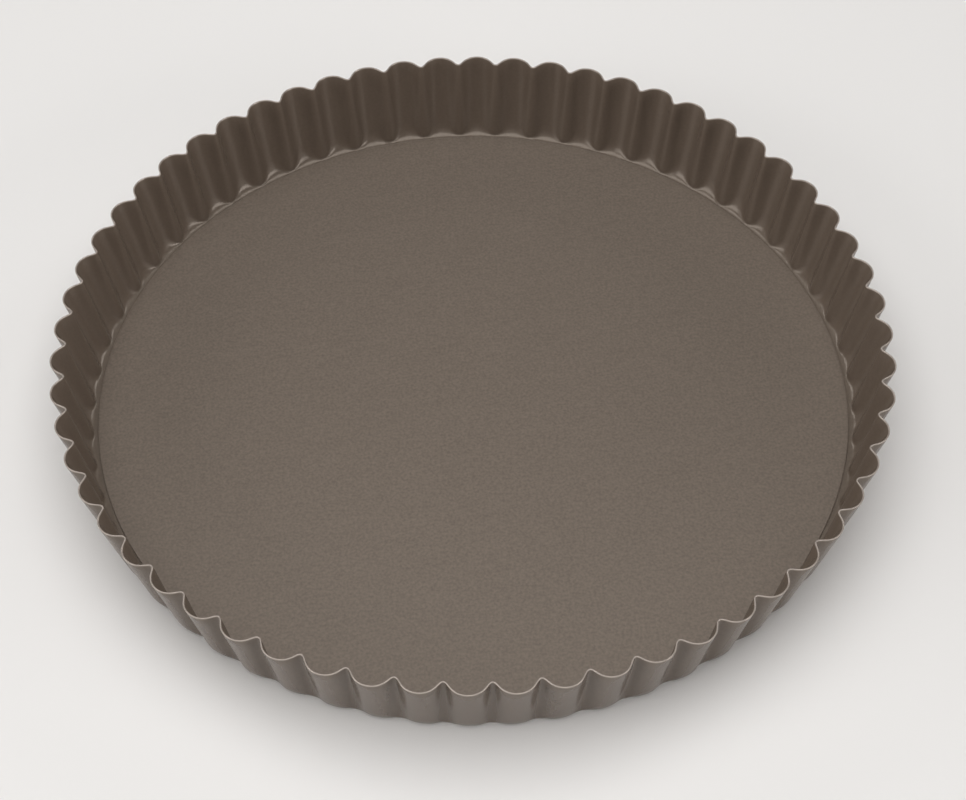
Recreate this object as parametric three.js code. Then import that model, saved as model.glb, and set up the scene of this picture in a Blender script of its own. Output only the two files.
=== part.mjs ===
// Loose-bottom tart pan: a fluted ring pressed from thin sheet, and a flat round base that lies loose on
// the ring's inward lip. Pushing up on the base lifts a baked tart out of the ring.
// Millimetres, +Z up. The origin is the centre of the foot, on the surface that the pan stands on.

import * as THREE from 'three';

// Fluted ring, pressed in one piece
const RIM_DIAMETER = 280; // outside, over the crests of the flutes
const FOOT_DIAMETER = 265.6; // outside, where the crests' straight line would meet the lip
const PAN_HEIGHT = 32;
const RING_SHEET = 0.5;
const LIP_WIDTH = 10; // flat width that carries the base

// Flutes: round pockets outward, narrow ridges inward, shallower towards the foot
const FLUTE_COUNT = 60;
const RIM_FLUTE_DEPTH = 4.4;
const FOOT_FLUTE_DEPTH = 2.1;
const FLUTE_FULLNESS = 0.55; // 0 is an even wave, and more makes wider pockets and narrower ridges
const RIDGE_ROUNDING = 0.075; // more makes the ridges rounder and their sides steeper

// Cove, the curve from the lip up into the wall: a tight bend at the ridges, a round scoop at the crests
const COVE_AT_RIDGE = 1.3; // both in along the lip and up along the wall
const COVE_REACH_AT_CREST = 3; // in along the lip
const COVE_RISE_AT_CREST = 7; // up along the wall

// Loose base
const BASE_THICKNESS = 0.6;
const BASE_CLEARANCE = 0.25; // all round, from the base's edge to the start of the cove
const PUSH_FACE_MARGIN = 20; // from the lip's hole in to the middle of the base, where a hand pushes

// Fineness of the faceted surfaces
const STEPS_PER_FLUTE = 8;
const COVE_STEPS = 3;
const BASE_STEPS = 120;
const DERIVATIVE_STEP = 1e-4; // turn of the flute's phase, in radians, used to find the sheet's direction

// Radii of the ring are taken at the middle of its sheet
const halfSheet = RING_SHEET / 2;
const rimCrestRadius = RIM_DIAMETER / 2 - halfSheet;
const footCrestRadius = FOOT_DIAMETER / 2 - halfSheet;
const footRidgeRadius = footCrestRadius - FOOT_FLUTE_DEPTH;
const lipFlatRadius = footRidgeRadius - COVE_AT_RIDGE;
const lipHoleRadius = lipFlatRadius - LIP_WIDTH;
const baseRadius = lipFlatRadius - BASE_CLEARANCE;
const pushFaceRadius = lipHoleRadius - PUSH_FACE_MARGIN;

const ringCoat = new THREE.MeshStandardMaterial({ color: 0x62564a, roughness: 0.3, metalness: 0 });
const baseCoat = new THREE.MeshStandardMaterial({ color: 0x62564a, roughness: 0.4, metalness: 0 });

// Direction out from the axis at a phase of the flutes. One flute is a phase of 2 pi, with its ridge at 0
// and its crest at pi, and the first crest lies on +X.
function outwardAt(phase) {
  const swing = FLUTE_FULLNESS * Math.sin(phase) - RIDGE_ROUNDING * Math.sin(2 * phase);
  const angle = (phase - swing - Math.PI) / FLUTE_COUNT;
  return new THREE.Vector3(Math.cos(angle), Math.sin(angle), 0);
}

// Point of a fluted outline at one height
function flutedPoint(phase, crestRadius, depth, height) {
  const radius = crestRadius - depth * (1 + Math.cos(phase)) / 2;
  return outwardAt(phase).multiplyScalar(radius).setZ(height);
}

// Radial section of the sheet's middle, from the lip's hole out to the cove and up the straight wall to the
// rim: at each station its point, and the direction in which the sheet runs on.
function sheetSection(phase) {
  const hole = outwardAt(phase).multiplyScalar(lipHoleRadius).setZ(halfSheet);
  const corner = flutedPoint(phase, footCrestRadius, FOOT_FLUTE_DEPTH, halfSheet);
  const rim = flutedPoint(phase, rimCrestRadius, RIM_FLUTE_DEPTH, PAN_HEIGHT);
  const upWall = rim.clone().sub(corner).normalize();
  const nearnessToCrest = (1 - Math.cos(phase)) / 2;
  const coveReach = THREE.MathUtils.lerp(COVE_AT_RIDGE, COVE_REACH_AT_CREST, nearnessToCrest);
  const coveRise = THREE.MathUtils.lerp(COVE_AT_RIDGE, COVE_RISE_AT_CREST, nearnessToCrest);
  const coveStart = corner.clone().addScaledVector(outwardAt(phase), -coveReach);
  const wallStart = corner.clone().addScaledVector(upWall, coveRise);
  const cove = new THREE.QuadraticBezierCurve3(coveStart, corner, wallStart);

  const stations = [{ point: hole, direction: outwardAt(phase) }];
  for (let step = 0; step <= COVE_STEPS; step += 1) {
    const share = step / COVE_STEPS;
    stations.push({ point: cove.getPoint(share), direction: cove.getTangent(share) });
  }
  stations.push({ point: rim, direction: upWall });
  return stations;
}

// The two faces of the sheet at one section: the food's side, and the outside with the foot
function sheetFaces(phase) {
  const before = sheetSection(phase - DERIVATIVE_STEP);
  const after = sheetSection(phase + DERIVATIVE_STEP);
  const section = sheetSection(phase);
  const inside = [];
  const outside = [];
  section.forEach(({ point, direction }, station) => {
    const around = after[station].point.clone().sub(before[station].point);
    const normal = direction.clone().cross(around).normalize();
    inside.push(point.clone().addScaledVector(normal, halfSheet));
    outside.push(point.clone().addScaledVector(normal, -halfSheet));
  });
  // The rim is trimmed level
  inside.at(-1).setZ(PAN_HEIGHT);
  outside.at(-1).setZ(PAN_HEIGHT);
  return [inside, outside];
}

function makeFlutedRing() {
  const columns = FLUTE_COUNT * STEPS_PER_FLUTE;
  const positions = [];
  for (let column = 0; column < columns; column += 1) {
    const faces = sheetFaces(2 * Math.PI * column / STEPS_PER_FLUTE);
    faces.flat().forEach((point) => positions.push(point.x, point.y, point.z));
  }

  const perColumn = positions.length / 3 / columns;
  const stations = perColumn / 2;
  const insideVertex = (column, station) => (column % columns) * perColumn + station;
  const outsideVertex = (column, station) => insideVertex(column, station) + stations;

  const indices = [];
  const addQuad = (a, b, c, d) => indices.push(a, b, c, a, c, d);
  for (let column = 0; column < columns; column += 1) {
    const next = column + 1;
    const towardsCrest = column % STEPS_PER_FLUTE < STEPS_PER_FLUTE / 2;
    for (let station = 0; station < stations - 1; station += 1) {
      const corners = [[column, station], [next, station], [next, station + 1], [column, station + 1]];
      // Both faces are split along one diagonal, which keeps the sheet's thickness, and it is mirrored
      // about the crest
      if (!towardsCrest) {
        corners.push(corners.shift());
      }
      const [a, b, c, d] = corners.map((corner) => insideVertex(...corner));
      addQuad(a, d, c, b);
      const [e, f, g, h] = corners.map((corner) => outsideVertex(...corner));
      addQuad(e, f, g, h);
    }
    const last = stations - 1;
    addQuad(insideVertex(column, 0), insideVertex(next, 0), outsideVertex(next, 0), outsideVertex(column, 0));
    addQuad(insideVertex(next, last), insideVertex(column, last), outsideVertex(column, last),
      outsideVertex(next, last));
  }

  const geometry = new THREE.BufferGeometry();
  geometry.setAttribute('position', new THREE.Float32BufferAttribute(positions, 3));
  geometry.setIndex(indices);
  geometry.computeVertexNormals();
  const ring = new THREE.Mesh(geometry, ringCoat);
  ring.name = 'fluted_ring';
  return ring;
}

function makeLooseBase() {
  const profile = [
    new THREE.Vector2(0, 0),
    new THREE.Vector2(pushFaceRadius, 0),
    new THREE.Vector2(baseRadius, 0),
    new THREE.Vector2(baseRadius, BASE_THICKNESS),
    new THREE.Vector2(0, BASE_THICKNESS),
  ];
  const geometry = new THREE.LatheGeometry(profile, BASE_STEPS);
  geometry.rotateX(Math.PI / 2);
  const base = new THREE.Mesh(geometry, baseCoat);
  base.name = 'loose_base';
  base.position.z = RING_SHEET;
  return base;
}

const tartPan = new THREE.Group();
tartPan.name = 'tart_pan';
tartPan.add(makeFlutedRing());
tartPan.add(makeLooseBase());

export default tartPan;
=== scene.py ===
"""Looks of a loose-bottom tart pan: a fluted ring and a loose base with one satin coat, on a pale floor.

Metres, +Z up, in the part's own frame: the origin is the centre of the foot, and a flute's crest lies on +X.
"""

import math

import bpy
import numpy as np
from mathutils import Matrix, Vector


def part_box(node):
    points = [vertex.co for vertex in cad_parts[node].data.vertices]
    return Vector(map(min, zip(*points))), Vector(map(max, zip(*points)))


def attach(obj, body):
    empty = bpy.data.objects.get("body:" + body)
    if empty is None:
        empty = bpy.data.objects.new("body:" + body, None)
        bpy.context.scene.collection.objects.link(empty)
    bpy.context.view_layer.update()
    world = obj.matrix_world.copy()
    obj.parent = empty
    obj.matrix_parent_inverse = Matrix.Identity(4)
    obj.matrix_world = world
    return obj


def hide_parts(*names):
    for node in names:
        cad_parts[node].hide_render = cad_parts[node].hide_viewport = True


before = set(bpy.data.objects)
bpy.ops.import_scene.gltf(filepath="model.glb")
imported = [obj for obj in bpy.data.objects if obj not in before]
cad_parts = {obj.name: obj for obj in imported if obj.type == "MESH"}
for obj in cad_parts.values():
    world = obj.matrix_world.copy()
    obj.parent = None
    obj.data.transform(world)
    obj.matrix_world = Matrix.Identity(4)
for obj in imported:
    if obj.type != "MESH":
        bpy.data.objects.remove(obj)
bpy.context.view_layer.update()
_, ring_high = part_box("fluted_ring")
base_low, base_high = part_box("loose_base")

MM = 0.001

# Sizes that the frame gives. The base lies on the ring's lip, so its underside is one sheet above the foot.
RIM_RADIUS = ring_high.x
PAN_HEIGHT = ring_high.z
SHEET = base_low.z
BASE_RADIUS = base_high.x
BASE_BOTTOM = base_low.z
BASE_TOP = base_high.z

# Foot of the ring
FOOT_RADIUS = 132.8 * MM  # outside, where the crests' straight line would meet the lip
LIP_HOLE_RADIUS = 119.15 * MM

# Flutes: round pockets outward and narrow ridges inward, shallower and more even towards the foot
FLUTE_COUNT = 60
RIM_FLUTE_DEPTH = 4.4 * MM
FOOT_FLUTE_DEPTH = 2.1 * MM
RIM_FULLNESS = 0.55  # 0 is an even wave, and more makes wider pockets and narrower ridges
FOOT_FULLNESS = 0.15
RIDGE_ROUNDING = 0.075  # more makes the ridges rounder and their sides steeper

# Cove, the curve from the lip up into the wall: a tight bend at the ridges, a round scoop at the crests
COVE_AT_RIDGE = 0.9 * MM  # both in along the lip and up along the wall
COVE_REACH_AT_CREST = 3.0 * MM  # in along the lip
COVE_RISE_AT_CREST = 7.0 * MM  # up along the wall
SCOOP_SHARPNESS = 1.15  # more makes narrower scoops

# Unevenness that pressing leaves in the cove, as a sum of waves round the ring
MARK_DEPTH = 0.04 * MM
MARK_COUNT = 24  # waves in the sum
MARK_WAVES = (90, 260)  # fewest and most crests of one wave round the ring
MARK_SLANT = 8.0  # most that a wave shifts over the cove, in radians
MARK_SEED = 11

# Edge of the base, and fineness of the meshes
BASE_EDGE_ROUND = 0.2 * MM
STEPS_PER_FLUTE = 24
LIP_STEPS = 2
COVE_STEPS = 10
WALL_STEPS = 6
EDGE_STEPS = 6
BASE_COLUMNS = 360
BASE_RING_STEP = 8 * MM


# Meshes

def mesh_object(name, points, faces):
    """A smooth-shaded mesh object in the scene."""
    mesh = bpy.data.meshes.new(name)
    mesh.from_pydata(points, [], faces)
    mesh.validate()
    mesh.polygons.foreach_set("use_smooth", [True] * len(mesh.polygons))
    mesh.update()
    piece = bpy.data.objects.new(name, mesh)
    bpy.context.scene.collection.objects.link(piece)
    return piece


def unit(vectors):
    """The vectors, each at length 1."""
    return vectors / np.linalg.norm(vectors, axis=-1, keepdims=True)


def outward(phase, fullness):
    """Direction out from the axis. A flute is a phase of 2 pi, with its ridge at 0 and its crest at pi."""
    swing = fullness * np.sin(phase) - RIDGE_ROUNDING * np.sin(2 * phase)
    angle = (phase - swing - math.pi) / FLUTE_COUNT
    return np.stack([np.cos(angle), np.sin(angle), np.zeros_like(angle)], axis=-1)


def level(phase, fullness, radius, height):
    """Points of an outline at one height, with one radius or a radius for each phase."""
    points = outward(phase, fullness) * np.reshape(radius, (-1, 1))
    points[:, 2] = height
    return points


def fluted(phase, fullness, crest_radius, depth, height):
    """Points of a fluted outline at one height."""
    return level(phase, fullness, crest_radius - depth * (1 + np.cos(phase)) / 2, height)


def press_marks(points, share):
    """Height of the cove's unevenness, at a share of the way through the cove."""
    angle = np.arctan2(points[:, 1], points[:, 0])
    # The seed gives every row the same waves, so that they run on through the cove
    random = np.random.default_rng(MARK_SEED)
    waves = random.integers(*MARK_WAVES, MARK_COUNT)
    starts = random.uniform(0, 2 * math.pi, MARK_COUNT)
    slants = random.uniform(-MARK_SLANT, MARK_SLANT, MARK_COUNT)
    total = np.cos(np.outer(angle, waves) + starts + slants * share).sum(axis=1)
    return MARK_DEPTH * math.sin(math.pi * share) * total / math.sqrt(MARK_COUNT / 2)


def sheet_stations(phase):
    """Rows of points in the middle of the ring's sheet, from the lip's hole round the cove and up the wall.

    Each row comes with the directions in which the sheet runs on there.
    """
    half = SHEET / 2
    out = outward(phase, FOOT_FULLNESS)
    hole = level(phase, FOOT_FULLNESS, LIP_HOLE_RADIUS + half, half)
    corner = fluted(phase, FOOT_FULLNESS, FOOT_RADIUS - half, FOOT_FLUTE_DEPTH, half)
    rim_top = fluted(phase, RIM_FULLNESS, RIM_RADIUS - half, RIM_FLUTE_DEPTH, PAN_HEIGHT)
    up_wall = unit(rim_top - corner)
    rim = rim_top - half * up_wall

    nearness_to_crest = ((1 - np.cos(phase[:, None])) / 2) ** SCOOP_SHARPNESS
    reach = COVE_AT_RIDGE + (COVE_REACH_AT_CREST - COVE_AT_RIDGE) * nearness_to_crest
    rise = COVE_AT_RIDGE + (COVE_RISE_AT_CREST - COVE_AT_RIDGE) * nearness_to_crest
    cove_start = corner - out * reach
    wall_start = corner + up_wall * rise

    rows = []
    for share in np.linspace(0, 1, LIP_STEPS, endpoint=False):
        rows.append((hole + share * (cove_start - hole), out))
    for share in np.linspace(0, 1, COVE_STEPS, endpoint=False):
        first = cove_start + share * (corner - cove_start)
        second = corner + share * (wall_start - corner)
        cove = first + share * (second - first)
        # The marks never take the sheet below the foot
        cove[:, 2] = np.maximum(cove[:, 2] + press_marks(cove, share), half)
        rows.append((cove, unit(second - first)))
    for share in np.linspace(0, 1, WALL_STEPS + 1):
        rows.append((wall_start + share * (rim - wall_start), up_wall))
    return rows


def sheet_normal(points, direction):
    """Directions square to the sheet, towards its inside, for one row of points round the ring."""
    around = np.roll(points, -1, axis=0) - np.roll(points, 1, axis=0)
    return unit(np.cross(direction, around))


def rounded_edge(points, normal, direction):
    """Rows of points round an edge of the sheet, from its inside to its outside."""
    turns = np.linspace(0, math.pi, EDGE_STEPS + 1)[1:-1]
    return [points + (normal * math.cos(turn) + direction * math.sin(turn)) * SHEET / 2 for turn in turns]


def make_ring():
    """The fluted ring, as a sheet of even thickness with rounded edges at the rim and the lip's hole."""
    columns = FLUTE_COUNT * STEPS_PER_FLUTE
    phase = np.arange(columns) * 2 * math.pi / STEPS_PER_FLUTE
    stations = [(points, sheet_normal(points, direction), direction)
                for points, direction in sheet_stations(phase)]
    inside = [points + normal * SHEET / 2 for points, normal, _ in stations]
    outside = [points - normal * SHEET / 2 for points, normal, _ in stations]
    rim_edge = rounded_edge(*stations[-1])
    hole_points, hole_normal, hole_direction = stations[0]
    hole_edge = rounded_edge(hole_points, hole_normal, -hole_direction)
    loop = inside + rim_edge + outside[::-1] + hole_edge[::-1]
    points = np.stack(loop, axis=1)
    rows = len(loop)
    faces = []
    for column in range(columns):
        here = column * rows
        after = (column + 1) % columns * rows
        for row in range(rows):
            above = (row + 1) % rows
            faces.append((here + row, here + above, after + above, after + row))
    return mesh_object("ring_shell", points.reshape(-1, 3).tolist(), faces)


def base_profile():
    """Radius and height along the base's outline, from the bottom's middle round the edge to the top's."""
    flat_radius = BASE_RADIUS - BASE_EDGE_ROUND
    quarter = math.pi / 2
    inner_rings = np.arange(BASE_RING_STEP, flat_radius, BASE_RING_STEP)
    profile = [(radius, BASE_BOTTOM) for radius in inner_rings]
    for centre, start in ((BASE_BOTTOM + BASE_EDGE_ROUND, -quarter), (BASE_TOP - BASE_EDGE_ROUND, 0)):
        for turn in np.linspace(start, start + quarter, EDGE_STEPS):
            radius = flat_radius + BASE_EDGE_ROUND * math.cos(turn)
            profile.append((radius, centre + BASE_EDGE_ROUND * math.sin(turn)))
    profile += [(radius, BASE_TOP) for radius in inner_rings[::-1]]
    return profile


def make_base():
    """The loose base: a flat round sheet with a rounded edge."""
    profile = base_profile()
    rows = len(profile)
    points = []
    for column in range(BASE_COLUMNS):
        angle = 2 * math.pi * column / BASE_COLUMNS
        points += [(radius * math.cos(angle), radius * math.sin(angle), height) for radius, height in profile]
    bottom_middle = len(points)
    top_middle = bottom_middle + 1
    points += [(0, 0, BASE_BOTTOM), (0, 0, BASE_TOP)]
    faces = []
    for column in range(BASE_COLUMNS):
        here = column * rows
        after = (column + 1) % BASE_COLUMNS * rows
        for row in range(rows - 1):
            faces.append((here + row, after + row, after + row + 1, here + row + 1))
        faces.append((bottom_middle, after, here))
        faces.append((top_middle, here + rows - 1, after + rows - 1))
    return mesh_object("base_disc", points, faces)


# Materials

# Colours and gloss of the coat: the drawn wall is darker and smoother than the flat base and lip. The lip's
# lighter colour is painted light, which brings the flat lip up to the base's brightness
RING_COLOUR = (0.1035, 0.078, 0.0595)
# The lip's colour is painted light: lighter than the wall, so that the flat lip reads as bright as the base
LIP_PAINTED_LIGHT_COLOUR = (0.120, 0.0945, 0.074)
BASE_COLOUR = (0.131, 0.1055, 0.085)
GLOSS_TINT = (1.0, 0.88, 0.77)
RING_ROUGHNESS = 0.255
RING_IOR = 1.6
BASE_ROUGHNESS = 0.365
# The painted light on the lip fades into the wall's colour up to this height
LIP_LIGHT_HEIGHT = 1.2 * MM  # above the lip, where the wall's colour is reached

# Lighter metal along the rim: a bare edge whose lighter colour is also the rim's painted highlight. It fades
# out over the lower half of its band
RIM_EDGE_AND_HIGHLIGHT_COLOUR = (0.33, 0.285, 0.25)
EDGE_METALLIC = 0.35
EDGE_BAND = 0.5 * MM

# Speckle, grain and draw marks: cells per metre along each axis, and detail
SPECKLE_CELLS = (1100, 1100, 1100)
GRAIN_CELLS = (45, 900, 45)
GRAIN_TURN = math.radians(15)
DRAW_MARK_CELLS = (700, 700, 14)
SPECKLE_DETAIL = 3.0
GRAIN_DETAIL = 3.0
DRAW_MARK_DETAIL = 2.0
NOISE_RANGE = (0.3, 0.7)  # where most of a noise's values lie

# How much the speckle, grain and draw marks show
GRAIN_SHARE = 0.3  # beside the speckle on the base
DRAW_MARK_SHARE = 0.6  # beside the speckle on the ring
BASE_CONTRAST = 0.24
RING_CONTRAST = 0.12
ROUGHNESS_SWING = 0.04
BASE_RELIEF = 0.02 * MM
RING_RELIEF = 0.01 * MM
RELIEF_STRENGTH = 0.4


class Coat:
    """A material under construction, with short calls for the nodes that the coats use."""

    def __init__(self, name, colour, roughness):
        self.material = bpy.data.materials.new(name)
        self.material.use_nodes = True
        self.nodes = self.material.node_tree.nodes
        self.links = self.material.node_tree.links
        self.shader = self.nodes["Principled BSDF"]
        self.shader.inputs["Base Color"].default_value = (*colour, 1)
        self.shader.inputs["Roughness"].default_value = roughness
        self.shader.inputs["Specular Tint"].default_value = (*GLOSS_TINT, 1)
        self.place = self.nodes.new("ShaderNodeTexCoord").outputs["Object"]

    def stretched(self, cells, turn=0.0):
        """Object coordinates turned about Z and scaled, to so many cells per metre along each axis."""
        node = self.nodes.new("ShaderNodeMapping")
        node.vector_type = "TEXTURE"
        node.inputs["Rotation"].default_value = (0, 0, turn)
        node.inputs["Scale"].default_value = [1 / count for count in cells]
        self.links.new(self.place, node.inputs["Vector"])
        return node.outputs["Vector"]

    def noise(self, vector, detail):
        """Noise from 0 to 1, one cell per unit of the vector."""
        node = self.nodes.new("ShaderNodeTexNoise")
        node.inputs["Scale"].default_value = 1
        node.inputs["Detail"].default_value = detail
        self.links.new(vector, node.inputs["Vector"])
        return node.outputs["Fac"]

    def ranged(self, value, old_range, new_range, smooth=False):
        """The value, taken from one range to another and held there."""
        node = self.nodes.new("ShaderNodeMapRange")
        node.interpolation_type = "SMOOTHSTEP" if smooth else "LINEAR"
        limits = zip(("From Min", "From Max", "To Min", "To Max"), (*old_range, *new_range))
        for socket, number in limits:
            node.inputs[socket].default_value = number
        self.links.new(value, node.inputs["Value"])
        return node.outputs["Result"]

    def maths(self, operation, first, second):
        """Two values, or a value and a number, joined by one operation."""
        node = self.nodes.new("ShaderNodeMath")
        node.operation = operation
        for socket, value in zip(node.inputs, (first, second)):
            if isinstance(value, (int, float)):
                socket.default_value = value
            else:
                self.links.new(value, socket)
        return node.outputs["Value"]

    def weighted(self, first, second, share):
        """Two values mixed, with the share that the second has."""
        first_part = self.maths("MULTIPLY", first, 1 - share)
        second_part = self.maths("MULTIPLY", second, share)
        return self.maths("ADD", first_part, second_part)

    def blended(self, factor, first, second):
        """A colour between two, each a socket or a fixed colour."""
        node = self.nodes.new("ShaderNodeMix")
        node.data_type = "RGBA"
        self.links.new(factor, node.inputs["Factor"])
        colour_sockets = [socket for socket in node.inputs if socket.type == "RGBA"]
        for socket, colour in zip(colour_sockets, (first, second)):
            if isinstance(colour, tuple):
                socket.default_value = (*colour, 1)
            else:
                self.links.new(colour, socket)
        return next(socket for socket in node.outputs if socket.type == "RGBA")

    def height(self):
        """Height above the foot."""
        node = self.nodes.new("ShaderNodeSeparateXYZ")
        self.links.new(self.place, node.inputs["Vector"])
        return node.outputs["Z"]

    def bump(self, value, distance, strength):
        """Fine relief from a value, in metres."""
        node = self.nodes.new("ShaderNodeBump")
        node.inputs["Distance"].default_value = distance
        node.inputs["Strength"].default_value = strength
        self.links.new(value, node.inputs["Height"])
        self.links.new(node.outputs["Normal"], self.shader.inputs["Normal"])

    def feed(self, socket, value):
        """Sends a value to one of the shader's sockets."""
        self.links.new(value, self.shader.inputs[socket])


def shade(colour, factor):
    """A colour made lighter or darker."""
    return tuple(channel * factor for channel in colour)


def speckle(coat):
    """The fine speckle of the sprayed coat."""
    spots = coat.noise(coat.stretched(SPECKLE_CELLS), SPECKLE_DETAIL)
    return coat.ranged(spots, NOISE_RANGE, (0, 1))


def base_coat():
    """Satin coat on the flat base, over the faint one-way grain of the rolled sheet."""
    coat = Coat("base_coat", BASE_COLOUR, BASE_ROUGHNESS)
    grain = coat.noise(coat.stretched(GRAIN_CELLS, GRAIN_TURN), GRAIN_DETAIL)
    mixed = coat.weighted(speckle(coat), grain, GRAIN_SHARE)
    dark = shade(BASE_COLOUR, 1 - BASE_CONTRAST)
    light = shade(BASE_COLOUR, 1 + BASE_CONTRAST)
    coat.feed("Base Color", coat.blended(mixed, dark, light))
    roughness_range = (BASE_ROUGHNESS - ROUGHNESS_SWING, BASE_ROUGHNESS + ROUGHNESS_SWING)
    coat.feed("Roughness", coat.ranged(grain, NOISE_RANGE, roughness_range))
    coat.bump(mixed, BASE_RELIEF, RELIEF_STRENGTH)
    return coat.material


def ring_coat():
    """The same coat on the pressed ring, with faint draw marks up the wall, painted light on the flat lip,
    and a bare edge along the rim that is also a painted highlight.
    """
    coat = Coat("ring_coat", RING_COLOUR, RING_ROUGHNESS)
    coat.shader.inputs["IOR"].default_value = RING_IOR
    draw_marks = coat.noise(coat.stretched(DRAW_MARK_CELLS), DRAW_MARK_DETAIL)
    mixed = coat.weighted(speckle(coat), draw_marks, DRAW_MARK_SHARE)
    height = coat.height()
    # The flat lip gets painted light, a lighter colour that fades into the wall's colour just above the lip
    lip_light_fade = coat.ranged(height, (SHEET, SHEET + LIP_LIGHT_HEIGHT), (0, 1), smooth=True)
    dark = coat.blended(lip_light_fade, shade(LIP_PAINTED_LIGHT_COLOUR, 1 - RING_CONTRAST), shade(RING_COLOUR, 1 - RING_CONTRAST))
    light = coat.blended(lip_light_fade, shade(LIP_PAINTED_LIGHT_COLOUR, 1 + RING_CONTRAST), shade(RING_COLOUR, 1 + RING_CONTRAST))
    painted = coat.blended(mixed, dark, light)
    # Along the rim the coat gives way to a bare edge, painted lighter as the rim's highlight as well
    rim_edge_and_highlight_heights = (PAN_HEIGHT - EDGE_BAND, PAN_HEIGHT - EDGE_BAND / 2)
    edge = coat.ranged(height, rim_edge_and_highlight_heights, (0, 1), smooth=True)
    coat.feed("Base Color", coat.blended(edge, painted, RIM_EDGE_AND_HIGHLIGHT_COLOUR))
    coat.feed("Metallic", coat.ranged(edge, (0, 1), (0, EDGE_METALLIC)))
    coat.bump(mixed, RING_RELIEF, RELIEF_STRENGTH)
    return coat.material


# The object

ring = make_ring()
ring.data.materials.append(ring_coat())
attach(ring, "ring")
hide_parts("fluted_ring")

base = make_base()
base.data.materials.append(base_coat())
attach(base, "base")
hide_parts("loose_base")


# Stage, light and camera

FLOOR_HALF = 6.0
FLOOR_DROP = 0.05 * MM  # keeps the floor just clear of the foot
FLOOR_COLOUR = (0.74, 0.725, 0.71)
FLOOR_ROUGHNESS = 0.9

# The camera was fitted to the photographed rim: its place about the pan's axis, its tilt and its lens
CAMERA_PLACE = (6.39 * MM, -409.95 * MM, 491.3 * MM)
CAMERA_TILT = math.radians(39.575)
CAMERA_HEADING = math.radians(0.433)
CAMERA_LENS = 68.75  # in millimetres, as the sensor's width is
SENSOR_WIDTH = 36
CLIP_START = 0.01


def make_floor():
    """A wide pale floor under the foot."""
    signs = ((-1, -1), (1, -1), (1, 1), (-1, 1))
    corners = [(x * FLOOR_HALF, y * FLOOR_HALF, -FLOOR_DROP) for x, y in signs]
    floor = mesh_object("floor", corners, [(0, 1, 2, 3)])
    floor.data.materials.append(Coat("floor_paint", FLOOR_COLOUR, FLOOR_ROUGHNESS).material)


def make_softbox(name, place, width, height, power, target=(0, 0, 0)):
    """A rectangular lamp that faces its target."""
    lamp = bpy.data.lights.new(name, "AREA")
    lamp.shape = "RECTANGLE"
    lamp.size = width
    lamp.size_y = height
    lamp.energy = power
    lamp_object = bpy.data.objects.new(name, lamp)
    lamp_object.location = place
    aim = Vector(target) - Vector(place)
    lamp_object.rotation_euler = aim.to_track_quat("-Z", "Y").to_euler()
    bpy.context.scene.collection.objects.link(lamp_object)


def make_world(strength):
    """Soft even light from all round."""
    world = bpy.data.worlds.new("studio")
    world.use_nodes = True
    background = world.node_tree.nodes["Background"]
    background.inputs["Color"].default_value = (1, 1, 1, 1)
    background.inputs["Strength"].default_value = strength
    bpy.context.scene.world = world


def make_camera():
    """The scene's camera."""
    camera = bpy.data.cameras.new("camera")
    camera.lens = CAMERA_LENS
    camera.sensor_width = SENSOR_WIDTH
    camera.clip_start = CLIP_START
    camera_object = bpy.data.objects.new("camera", camera)
    camera_object.location = CAMERA_PLACE
    camera_object.rotation_euler = (CAMERA_TILT, 0, CAMERA_HEADING)
    bpy.context.scene.collection.objects.link(camera_object)
    bpy.context.scene.camera = camera_object


make_floor()
make_softbox("top_softbox", (-0.07, -0.10, 1.0), target=(-0.07, -0.10, 0),
             width=1.15, height=1.25, power=10.9)
make_softbox("front_softbox", (0, -2.1, 1.6), width=2.0, height=1.7, power=4.0)
make_softbox("left_softbox", (-4.0, -1.9, 1.5), width=3.3, height=3.0, power=93.0)
make_softbox("right_softbox", (4.0, -1.9, 1.0), width=3.0, height=1.9, power=76.0)
make_softbox("back_left_softbox", (-1.9, 1.6, 1.1), width=0.9, height=0.9, power=7.7)
make_softbox("back_right_softbox", (1.9, 1.6, 1.1), width=0.9, height=0.9, power=7.7)
make_world(strength=0.11)
make_camera()
bpy.context.scene.view_settings.view_transform = "Standard"
